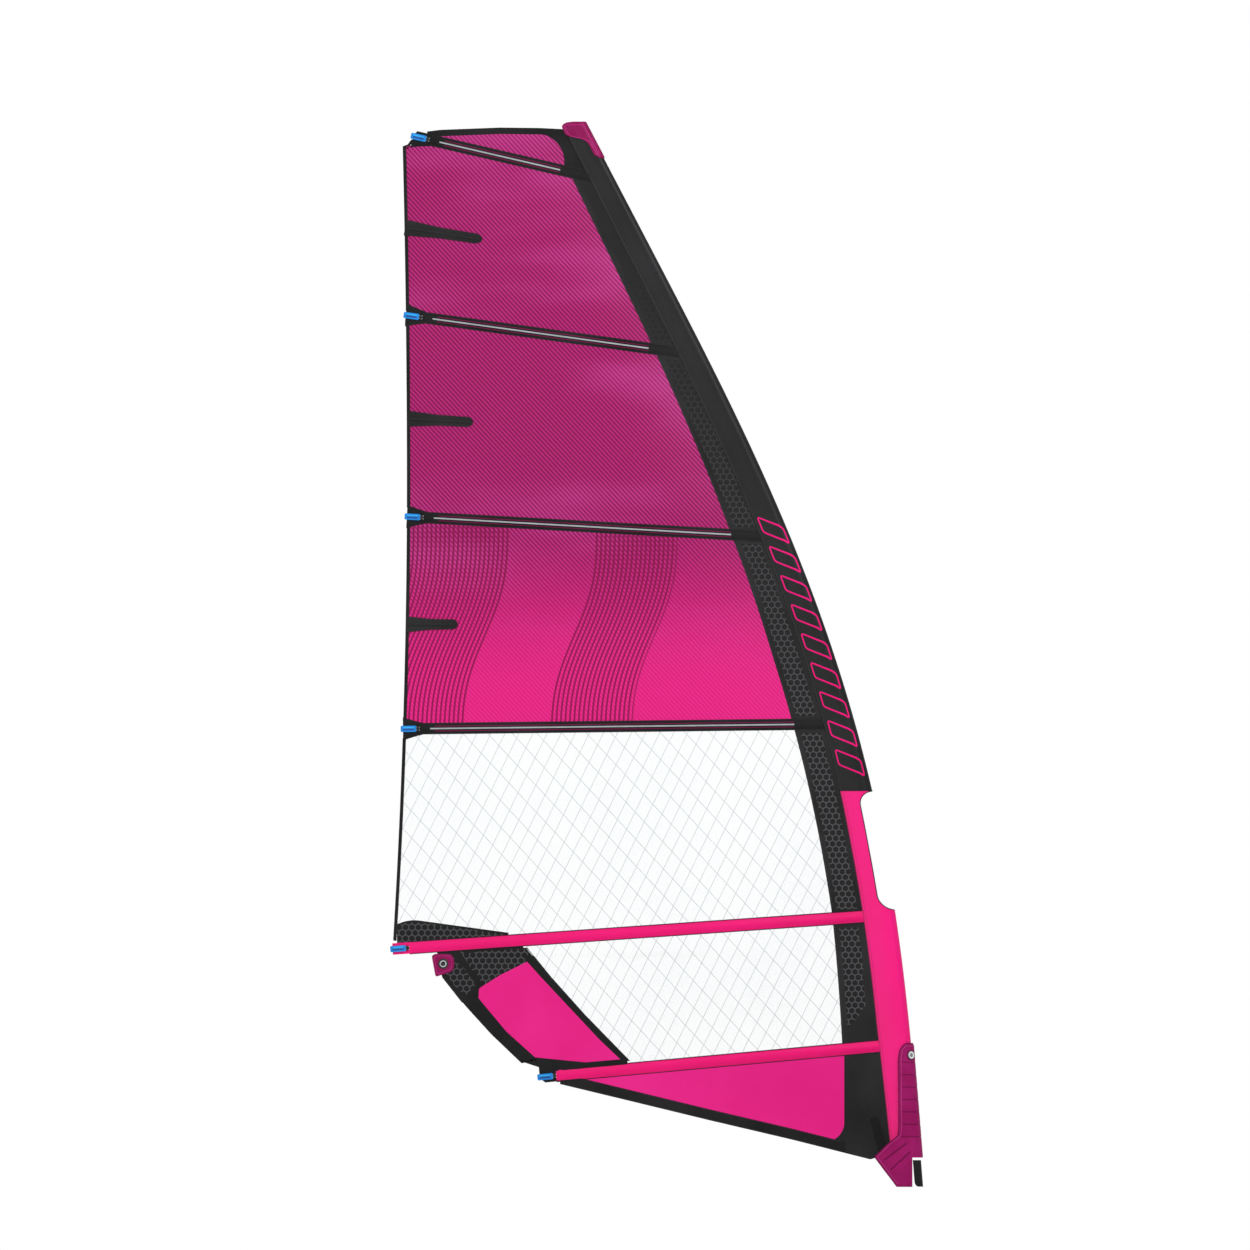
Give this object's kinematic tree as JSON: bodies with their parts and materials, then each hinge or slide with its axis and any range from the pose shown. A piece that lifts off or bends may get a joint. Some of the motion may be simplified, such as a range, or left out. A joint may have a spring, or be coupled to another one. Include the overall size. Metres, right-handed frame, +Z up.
{
  "type": "windsurf sail",
  "caption": "Windsurf sail with a luff sleeve for a mast, battens with screw tensioners, film and cloth panels, a clew ring, a padded tack and a downhaul pulley.",
  "frame": {"origin": "on the mast axis at the foot of the luff sleeve, beside the tack", "axes": "+Z up along the mast's foot, +X forward to the luff, +Y to the far side of the sail, away from the viewer"},
  "size_m": [2.324, 0.1381, 4.6469],
  "materials": {
    "carbon_batten": "satin",
    "black_cloth": "woven polyester with a soft sheen",
    "neon_cloth": "dyed woven polyester",
    "stainless": "polished stainless steel",
    "grey_plastic": "moulded nylon",
    "blue_plastic": "moulded, semi gloss",
    "black_plastic": "moulded nylon",
    "pale_batten": "glass fibre strip",
    "magenta_film": "striped monofilm",
    "hot_film": "striped monofilm",
    "window_film": "clear monofilm with scrim yarns",
    "neon_ply": "laminate with a fine diamond weave",
    "magenta_plastic": "moulded, semi gloss",
    "neon_sleeve": "dyed woven polyester",
    "black_sleeve": "woven polyester",
    "magenta_foam": "moulded foam with a cloth face",
    "white_plastic": "moulded acetal",
    "black_webbing": "woven webbing",
    "pale_plastic": "moulded nylon"
  },
  "bodies": {
    "root": {"batten_1": "carbon_batten", "batten_2": "carbon_batten", "batten_3": "carbon_batten", "batten_4": "carbon_batten", "batten_5": "carbon_batten", "batten_6": "carbon_batten", "pocket_1": "black_cloth", "pocket_2": "black_cloth", "pocket_3": "black_cloth", "pocket_4": "black_cloth", "pocket_5": "neon_cloth", "pocket_6": "neon_cloth", "tensioner_caps": "blue_plastic", "tensioner_collars": "black_plastic", "leech_patches": "black_cloth", "mini_battens": "pale_batten", "mini_batten_pockets": "black_cloth", "head_panel": "magenta_film", "upper_film_panel": "magenta_film", "middle_film_panel": "magenta_film", "lower_film_panel": "hot_film", "upper_window": "window_film", "lower_window": "window_film", "clew_panel": "neon_ply", "foot_panel": "neon_ply", "luff_panel": "black_cloth", "leech_tape": "black_cloth", "head_patch": "black_cloth", "clew_patch": "black_cloth", "tack_panel": "black_cloth", "foot_band": "black_cloth", "clew_plates": "magenta_plastic", "clew_ring": "stainless", "sleeve_lower": "neon_sleeve", "sleeve_cutout_sides": "neon_sleeve", "sleeve_upper": "black_sleeve", "pad_far_side": "magenta_foam", "pulley_frame": "black_plastic", "pulley_axle": "stainless", "tack_webbing": "black_webbing", "foot_apron": "black_webbing", "head_cap": "magenta_plastic", "head_plug": "pale_plastic"},
    "screw_1": {"tensioner_screw_1": "stainless"},
    "screw_2": {"tensioner_screw_2": "stainless"},
    "screw_3": {"tensioner_screw_3": "stainless"},
    "screw_4": {"tensioner_screw_4": "stainless"},
    "screw_5": {"tensioner_screw_5": "stainless"},
    "screw_6": {"tensioner_screw_6": "stainless"},
    "plug_1": {"tensioner_plug_1": "grey_plastic"},
    "plug_2": {"tensioner_plug_2": "grey_plastic"},
    "plug_3": {"tensioner_plug_3": "grey_plastic"},
    "plug_4": {"tensioner_plug_4": "grey_plastic"},
    "plug_5": {"tensioner_plug_5": "grey_plastic"},
    "plug_6": {"tensioner_plug_6": "grey_plastic"},
    "pad_flap": {"pad_near_flap": "magenta_foam", "pad_eyelet": "white_plastic"},
    "sheave_1": {"pulley_sheave_1": "white_plastic"},
    "sheave_2": {"pulley_sheave_2": "white_plastic"},
    "sheave_3": {"pulley_sheave_3": "white_plastic"}
  },
  "joints": [
    {"name": "tensioner_1_turn", "type": "hinge", "parent": "root", "child": "screw_1", "pos_m": [-2.171, 0, 4.421], "axis": [-0.9744, 0, 0.2247], "range_deg": [0, 2880]},
    {"name": "tensioner_1_plug_slide", "type": "slide", "parent": "root", "child": "plug_1", "axis": [-0.9744, 0, 0.2247], "range_m": [0, 0.012]},
    {"name": "tensioner_2_turn", "type": "hinge", "parent": "root", "child": "screw_2", "pos_m": [-2.20261, 0, 3.64], "axis": [-0.9908, 0, 0.1352], "range_deg": [0, 2880]},
    {"name": "tensioner_2_plug_slide", "type": "slide", "parent": "root", "child": "plug_2", "axis": [-0.9908, 0, 0.1352], "range_m": [0, 0.012]},
    {"name": "tensioner_3_turn", "type": "hinge", "parent": "root", "child": "screw_3", "pos_m": [-2.19829, 0, 2.762], "axis": [-0.9985, 0, 0.0556], "range_deg": [0, 2880]},
    {"name": "tensioner_3_plug_slide", "type": "slide", "parent": "root", "child": "plug_3", "axis": [-0.9985, 0, 0.0556], "range_m": [0, 0.012]},
    {"name": "tensioner_4_turn", "type": "hinge", "parent": "root", "child": "screw_4", "pos_m": [-2.21526, 0, 1.836], "axis": [-0.9999, 0, -0.0114], "range_deg": [0, 2880]},
    {"name": "tensioner_4_plug_slide", "type": "slide", "parent": "root", "child": "plug_4", "axis": [-0.9999, 0, -0.0114], "range_m": [0, 0.012]},
    {"name": "tensioner_5_turn", "type": "hinge", "parent": "root", "child": "screw_5", "pos_m": [-2.26044, 0, 0.876], "axis": [-0.9976, 0, -0.069], "range_deg": [0, 2880]},
    {"name": "tensioner_5_plug_slide", "type": "slide", "parent": "root", "child": "plug_5", "axis": [-0.9976, 0, -0.069], "range_m": [0, 0.012]},
    {"name": "tensioner_6_turn", "type": "hinge", "parent": "root", "child": "screw_6", "pos_m": [-1.61903, 0, 0.317], "axis": [-0.9958, 0, -0.0914], "range_deg": [0, 2880]},
    {"name": "tensioner_6_plug_slide", "type": "slide", "parent": "root", "child": "plug_6", "axis": [-0.9958, 0, -0.0914], "range_m": [0, 0.012]},
    {"name": "pad_flap_hinge", "type": "hinge", "parent": "root", "child": "pad_flap", "pos_m": [0.0506, 0, 0], "axis": [-0.0802, 0, 0.9968], "range_deg": [0, 110]},
    {"name": "sheave_1_spin", "type": "hinge", "parent": "root", "child": "sheave_1", "pos_m": [-0.108, -0.0115, -0.06], "axis": [0, 1, 0], "continuous": true},
    {"name": "sheave_2_spin", "type": "hinge", "parent": "root", "child": "sheave_2", "pos_m": [-0.108, 0, -0.06], "axis": [0, 1, 0], "continuous": true},
    {"name": "sheave_3_spin", "type": "hinge", "parent": "root", "child": "sheave_3", "pos_m": [-0.108, 0.0115, -0.06], "axis": [0, 1, 0], "continuous": true}
  ],
  "couplings": [
    {"joint": "tensioner_1_turn", "follows": "tensioner_1_plug_slide", "rad_per_m": 4188.8},
    {"joint": "tensioner_2_turn", "follows": "tensioner_2_plug_slide", "rad_per_m": 4188.8},
    {"joint": "tensioner_3_turn", "follows": "tensioner_3_plug_slide", "rad_per_m": 4188.8},
    {"joint": "tensioner_4_turn", "follows": "tensioner_4_plug_slide", "rad_per_m": 4188.8},
    {"joint": "tensioner_5_turn", "follows": "tensioner_5_plug_slide", "rad_per_m": 4188.8},
    {"joint": "tensioner_6_turn", "follows": "tensioner_6_plug_slide", "rad_per_m": 4188.8}
  ]
}
